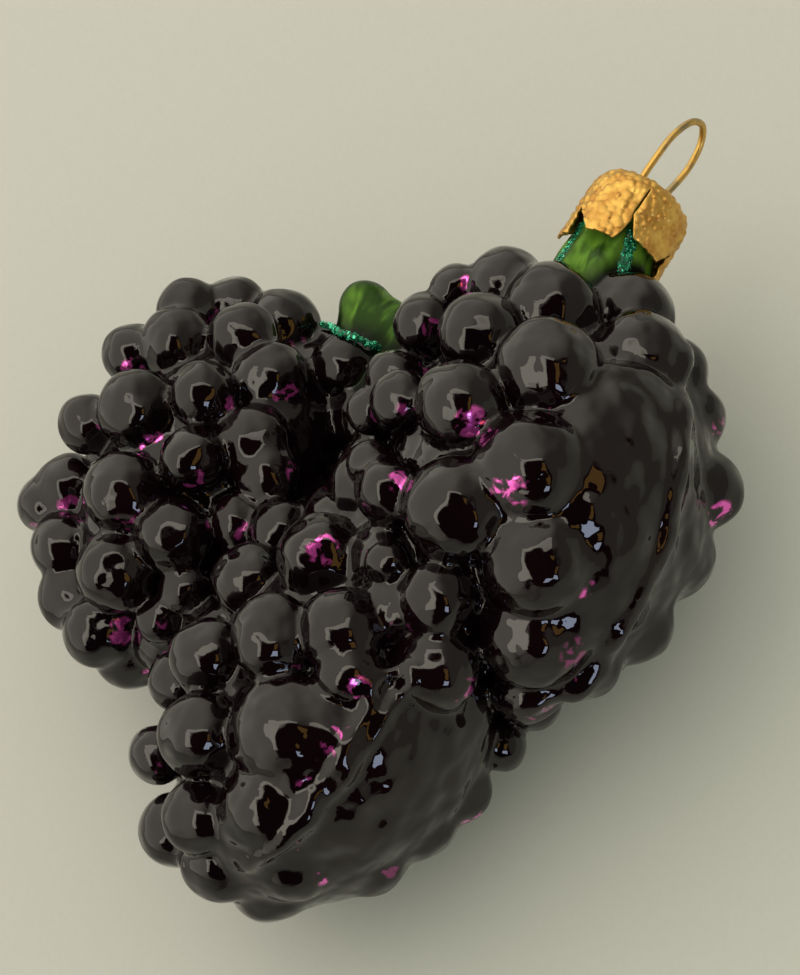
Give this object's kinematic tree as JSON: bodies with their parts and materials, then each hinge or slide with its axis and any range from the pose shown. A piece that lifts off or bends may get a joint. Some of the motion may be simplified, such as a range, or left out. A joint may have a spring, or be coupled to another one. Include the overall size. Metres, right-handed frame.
{
  "type": "blown glass bramble ornament",
  "caption": "Hollow blown glass tree ornament shaped as joined bramble berries under a short green stem, with a stamped metal cap and a wire hanging loop.",
  "frame": {"origin": "on the surface the ornament lies on, under the middle of its bounding box", "axes": "+Y up the neck towards the hanging loop, +X across the mould, +Z out of the upper half of the mould, away from the surface"},
  "size_m": [0.0716, 0.0908, 0.0394],
  "materials": {
    "lacquered_glass": "glossy lacquer over silvered glass, plum black on the berries and green on the stem",
    "gilt_sheet": "pebbled, satin",
    "gilt_wire": "smooth, satin",
    "glitter": "fine glitter set in clear glue"
  },
  "bodies": {
    "root": {"glass_body": "lacquered_glass", "cap": "gilt_sheet", "hanger_wire": "gilt_wire", "glitter_stripe_1": "glitter", "glitter_stripe_2": "glitter", "glitter_stripe_3": "glitter", "glitter_stripe_4": "glitter", "glitter_knob_line": "glitter"}
  },
  "joints": []
}
